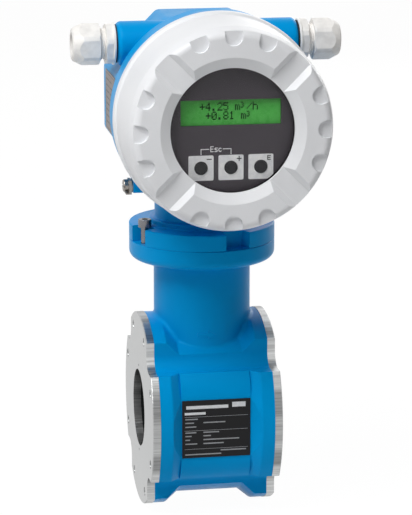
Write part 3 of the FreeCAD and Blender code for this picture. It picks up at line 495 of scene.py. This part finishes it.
def square_radius(angle, half, corner):
    """Distance from the middle of a rounded square to its edge."""
    c, s = abs(math.cos(angle)), abs(math.sin(angle))
    reach = half / max(c, s)
    inner = half - corner
    if reach * min(c, s) > inner:
        along = inner * (c + s)
        reach = along + math.sqrt(max(0.0, along * along - 2 * inner * inner + corner * corner))
    return reach


def key_outlines(u, v):
    """Rounded square round a key, clipped to the round bezel, and the hole for the key."""
    square, hole = [], []
    for i in range(OUTLINE_STEPS):
        angle = 2 * math.pi * i / OUTLINE_STEPS
        c, s = math.cos(angle), math.sin(angle)
        along = u * c + v * s
        to_bezel = -along + math.sqrt(along * along - u * u - v * v + BEZEL_PRINT_R * BEZEL_PRINT_R)
        reach = min(square_radius(angle, KEY_SQUARE / 2, KEY_CORNER), to_bezel)
        square.append((u + reach * c, v + reach * s))
        hole.append((u + KEY_HOLE_R * c, v + KEY_HOLE_R * s))
    return square, hole


def make_key_squares(pale):
    sketch = display_sketch("display_frame")
    for node in KEY_NODES:
        square, hole = key_outlines(*from_head_axis(node))
        sketch.holed(square, hole, 0.0, PRINT_H)
    sketch.piece("key_squares", pale, "head", "dark_plastic")


def make_key_marks(dark):
    sketch = display_sketch("display_frame")
    for node, width, lines in KEY_MARKS:
        u, v = from_head_axis(node)
        for line in lines:
            sketch.stroke(moved(line, u + MARK_PLACE[0], v + MARK_PLACE[1]), width, PRINT_H, PRINT_H * 2)
    sketch.piece("key_marks", dark, "head", "dark_plastic")


# ---- bracket over the first two keys, heights from the head's axis ----
BRACKET_LOW = -14.9
BRACKET_HIGH = -11.8
BRACKET_GAP = 4.3           # half of the room for the word
BRACKET_WIDTH = 0.45
WORD_FOOT = BRACKET_HIGH - 1.5
WORD_E = (((1.5, 3.0), (0.0, 3.0), (0.0, 0.0), (1.5, 0.0)), ((0.0, 1.55), (1.3, 1.55)))
WORD_S = (((1.5, 2.1), (0.3, 2.1), (0.0, 1.6), (0.3, 1.1), (1.2, 1.0), (1.5, 0.5), (1.2, 0.0), (0.0, 0.0)),)
WORD_C = (((1.5, 1.7), (1.0, 2.05), (0.3, 1.8), (0.0, 1.0), (0.3, 0.2), (1.0, 0.0), (1.5, 0.3)),)
WORD = ((-3.2, WORD_E), (-0.7, WORD_S), (1.6, WORD_C))      # left edge from the middle of the gap, and lines


def make_escape_bracket(pale):
    """Bracket over the minus and plus keys with the short word for leaving a menu."""
    sketch = display_sketch("display_frame")
    left, right = from_head_axis("button_minus")[0], from_head_axis("button_plus")[0]
    centre = (left + right) / 2
    for key, end in ((left, centre - BRACKET_GAP), (right, centre + BRACKET_GAP)):
        line = [(key, BRACKET_LOW), (key, BRACKET_HIGH), (end, BRACKET_HIGH)]
        sketch.stroke(line, BRACKET_WIDTH, 0.0, PRINT_H)
    for across, letter in WORD:
        for line in letter:
            sketch.stroke(moved(line, centre + across, WORD_FOOT), BRACKET_WIDTH, 0.0, PRINT_H)
    sketch.piece("escape_bracket", pale, "head", "dark_plastic")


# ---- threads, drawn as ring ridges a hair sunk in the plain cylinder ----
RIDGE_H = 0.5
RIDGE_PROFILE = ((0.0, 0.0), (0.35, 1.0), (0.55, 1.0), (0.9, 0.0))     # shares of pitch and height
SPIGOT_RIDGE_R = 9.25
SPIGOT_PITCH = 1.5
SPIGOT_RIDGE_SPAN = (13.4, 0.8)        # from the outer end of the gland body
SPIGOT_SEGMENTS = 64
COLLAR_RIDGE_R = 56.65
COLLAR_PITCH = 2.0
COLLAR_RIDGE_SPAN = (12.5, 1.2)        # from the front of the collar
COLLAR_SEGMENTS = 128


def ridges(centre, along, radius, pitch, first, last, segments):
    """Mesh of the ridges between two places along an axis that is square to Z."""
    centre, along, across = Vector(centre), Vector(along), Vector((0, 0, 1))
    third = along.cross(across)
    bm = bmesh.new()
    place = first
    while place + pitch <= last:
        loops = []
        for step, rise in RIDGE_PROFILE:
            base = centre + along * (place + step * pitch)
            loop = []
            for i in range(segments):
                angle = 2 * math.pi * i / segments
                way = across * math.cos(angle) + third * math.sin(angle)
                loop.append(bm.verts.new((base + way * (radius + rise * RIDGE_H)) * MM))
            loops.append(loop)
        join_loops(bm, loops)
        place += pitch
    return bm


def make_spigot_thread(side, word):
    centre = middle("gland_nut_" + word)
    low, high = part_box("gland_body_" + word)
    outer = max(abs(low.x), abs(high.x)) / MM
    first, last = (outer - inset for inset in SPIGOT_RIDGE_SPAN)
    bm = ridges((0, centre.y, centre.z), (side, 0, 0), SPIGOT_RIDGE_R, SPIGOT_PITCH, first, last,
                SPIGOT_SEGMENTS)
    add_piece(bm, "spigot_thread_" + word, finish_of("gland_body_" + word), "head")


def make_collar_thread():
    front = -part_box("transmitter_housing")[0].y / MM
    first, last = (front - inset for inset in COLLAR_RIDGE_SPAN)
    bm = ridges((0, 0, middle("cover_ring").z), (0, -1, 0), COLLAR_RIDGE_R, COLLAR_PITCH, first, last,
                COLLAR_SEGMENTS)
    add_piece(bm, "collar_thread", finish_of("transmitter_housing"), "head")


# ---- sensor nameplate: bars and rules from its upper left corner ----
PLATE_BAR = 0.75
PLATE_RULE = 0.22
PLATE_RULE_ENDS = (1.6, 42.1)
PLATE_HEADER = (            # start, end, drop, thickness
    (2.6, 29.5, 3.4, 2.1),
    (32.0, 40.6, 1.9, 3.2),
    (1.6, 15.0, 7.7, 1.6),
)
PLATE_RULES = (10.6, 19.6, 31.7)
PLATE_ROWS = (              # drop, and the start and end of each bar
    (11.8, ((2.0, 10.0),)),
    (14.2, ((2.0, 7.6), (13.6, 27.6))),
    (16.8, ((2.0, 9.0),)),
    (20.6, ((2.0, 9.0), (13.6, 23.6))),
    (22.9, ((2.0, 6.0), (13.6, 18.4))),
    (25.4, ((2.0, 5.0), (13.6, 36.6))),
    (28.0, ((2.0, 9.6), (13.6, 26.6))),
    (32.8, ((24.6, 41.0),)),
    (35.0, ((2.0, 25.0),)),
)


def nameplate_sketch():
    low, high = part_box("sensor_nameplate")
    return front_of("sensor_nameplate", low.x / MM, high.z / MM)


def make_sensor_plate_print(bright, dim):
    """Plain header bars, rule lines and rows of small bars of a blank nameplate."""
    header = nameplate_sketch()
    for start, end, drop, thick in PLATE_HEADER:
        header.bar(start, end, -drop - thick, -drop)
    header.piece("sensor_plate_header", bright, "sensor", "label_black")
    rows = nameplate_sketch()
    for drop, bars in PLATE_ROWS:
        for start, end in bars:
            rows.bar(start, end, -drop - PLATE_BAR, -drop)
    for drop in PLATE_RULES:
        rows.bar(*PLATE_RULE_ENDS, -drop - PLATE_RULE, -drop)
    rows.piece("sensor_plate_rows", dim, "sensor", "label_black")


# ---- plate on the head's left flank ----
SIDE_FRAME_INSET = 1.5
SIDE_FRAME_WIDTH = 0.25
SIDE_ROWS = 8
SIDE_FIRST_ROW = 5.0        # below the top edge
SIDE_ROW_PITCH = 3.9
SIDE_BAR = 0.8
SIDE_LABEL = (4.0, 16.0)    # from the left edge
SIDE_VALUE = (19.0, 36.0)
SIDE_SHORT_VALUE = (19.0, 28.0)         # every third row


def make_side_plate_print(dark):
    low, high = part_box("housing_nameplate")
    sketch = Sketch((low.x / MM, 0, 0), (0, -1, 0), (0, 0, 1), (-1, 0, 0))
    plate_left, plate_top = -high.y / MM, high.z / MM
    left, right = plate_left + SIDE_FRAME_INSET, -low.y / MM - SIDE_FRAME_INSET
    bottom, top = low.z / MM + SIDE_FRAME_INSET, plate_top - SIDE_FRAME_INSET
    border = [(left, bottom), (right, bottom), (right, top), (left, top), (left, bottom)]
    sketch.stroke(border, SIDE_FRAME_WIDTH)
    for row in range(SIDE_ROWS):
        v = plate_top - SIDE_FIRST_ROW - row * SIDE_ROW_PITCH
        for start, end in (SIDE_LABEL, SIDE_VALUE if row % 3 else SIDE_SHORT_VALUE):
            sketch.bar(plate_left + start, plate_left + end, v - SIDE_BAR, v)
    sketch.piece("side_plate_print", dark, "head", "label_metal")


def make_details():
    pale = printed("key_print_pale", PRINT_PALE)
    make_reading(plain("lcd_segments", LCD_SEGMENT, 0.35, relief=0.0, Specular_IOR_Level=0.1))
    make_key_squares(pale)
    make_key_marks(printed("key_print_dark", PRINT_DARK))
    make_escape_bracket(pale)
    make_spigot_thread(-1, "left")
    make_spigot_thread(1, "right")
    make_collar_thread()
    make_sensor_plate_print(printed("plate_print_bright", PLATE_PRINT_BRIGHT),
                            printed("plate_print_dim", PLATE_PRINT_DIM))
    make_side_plate_print(printed("plate_print_dark", PLATE_PRINT_DARK))


# ======================= stage =======================

def seen_directly(tree):
    """1 for what the camera, a reflection or the glass sees, 0 for what lights the object."""
    path = add_node(tree, "LightPath")
    seen = path.outputs["Is Camera Ray"]
    for kind in ("Is Glossy Ray", "Is Transmission Ray"):
        seen = calculate(tree, "MAXIMUM", seen, path.outputs[kind])
    return seen


def floor_material():
    """Pale floor; most of what is seen of it is plain white, and the rest keeps the shadow."""
    m = bpy.data.materials.new("floor_white")
    m.use_nodes = True
    tree = m.node_tree
    tree.nodes.clear()
    share = calculate(tree, "MULTIPLY", seen_directly(tree), FLOOR_GLOW_SHARE)
    diffuse = add_node(tree, "BsdfDiffuse", Color=FLOOR_COLOR)
    glow = add_node(tree, "Emission", Color=PURE_WHITE, Strength=FLOOR_GLOW)
    mix = add_node(tree, "MixShader", share, diffuse.outputs[0], glow.outputs[0])
    add_node(tree, "OutputMaterial", mix.outputs[0])
    return m


def make_floor():
    low = CAD_BOX[0][2]
    corners = [(x * FLOOR_HALF, y * FLOOR_HALF, low) for x, y in ((-1, -1), (1, -1), (1, 1), (-1, 1))]
    mesh = bpy.data.meshes.new("floor")
    mesh.from_pydata(corners, [], [(0, 1, 2, 3)])
    mesh.materials.append(floor_material())
    floor = bpy.data.objects.new("floor", mesh)
    bpy.context.scene.collection.objects.link(floor)


def make_world():
    world = bpy.data.worlds.new("studio")
    bpy.context.scene.world = world
    world.use_nodes = True
    tree = world.node_tree
    background = tree.nodes["Background"]
    background.inputs["Color"].default_value = PURE_WHITE
    strength = add_node(tree, "MapRange", seen_directly(tree),
                        To_Min=WORLD_AS_LIGHT, To_Max=WORLD_AS_SEEN)
    put(tree, strength.outputs["Result"], background.inputs["Strength"])


def make_lamp(name, place, width, height, power):
    data = bpy.data.lights.new(name, "AREA")
    data.shape = "RECTANGLE"
    data.size = width
    data.size_y = height
    data.energy = power
    lamp = bpy.data.objects.new(name, data)
    lamp.location = place
    lamp.rotation_euler = (Vector(LAMP_AIM) - Vector(place)).to_track_quat("-Z", "Y").to_euler()
    bpy.context.scene.collection.objects.link(lamp)


def make_camera():
    a, e = CAMERA_AZIMUTH, CAMERA_ELEVATION
    back = Vector((math.sin(a) * math.cos(e), -math.cos(a) * math.cos(e), math.sin(e)))
    data = bpy.data.cameras.new("camera")
    data.lens = CAMERA_LENS
    data.sensor_width = CAMERA_SENSOR
    camera = bpy.data.objects.new("camera", data)
    camera.location = CAMERA_AIM + back * CAMERA_DISTANCE
    camera.rotation_euler = (-back).to_track_quat("-Z", "Y").to_euler()
    bpy.context.scene.collection.objects.link(camera)
    bpy.context.scene.camera = camera


# ======================= the scene =======================

dress_shared()
dress_sensor()
dress_head()
dress_cover()
make_details()
make_floor()
make_world()
for lamp in LAMPS:
    make_lamp(*lamp)
make_camera()
bpy.context.scene.view_settings.view_transform = "Standard"
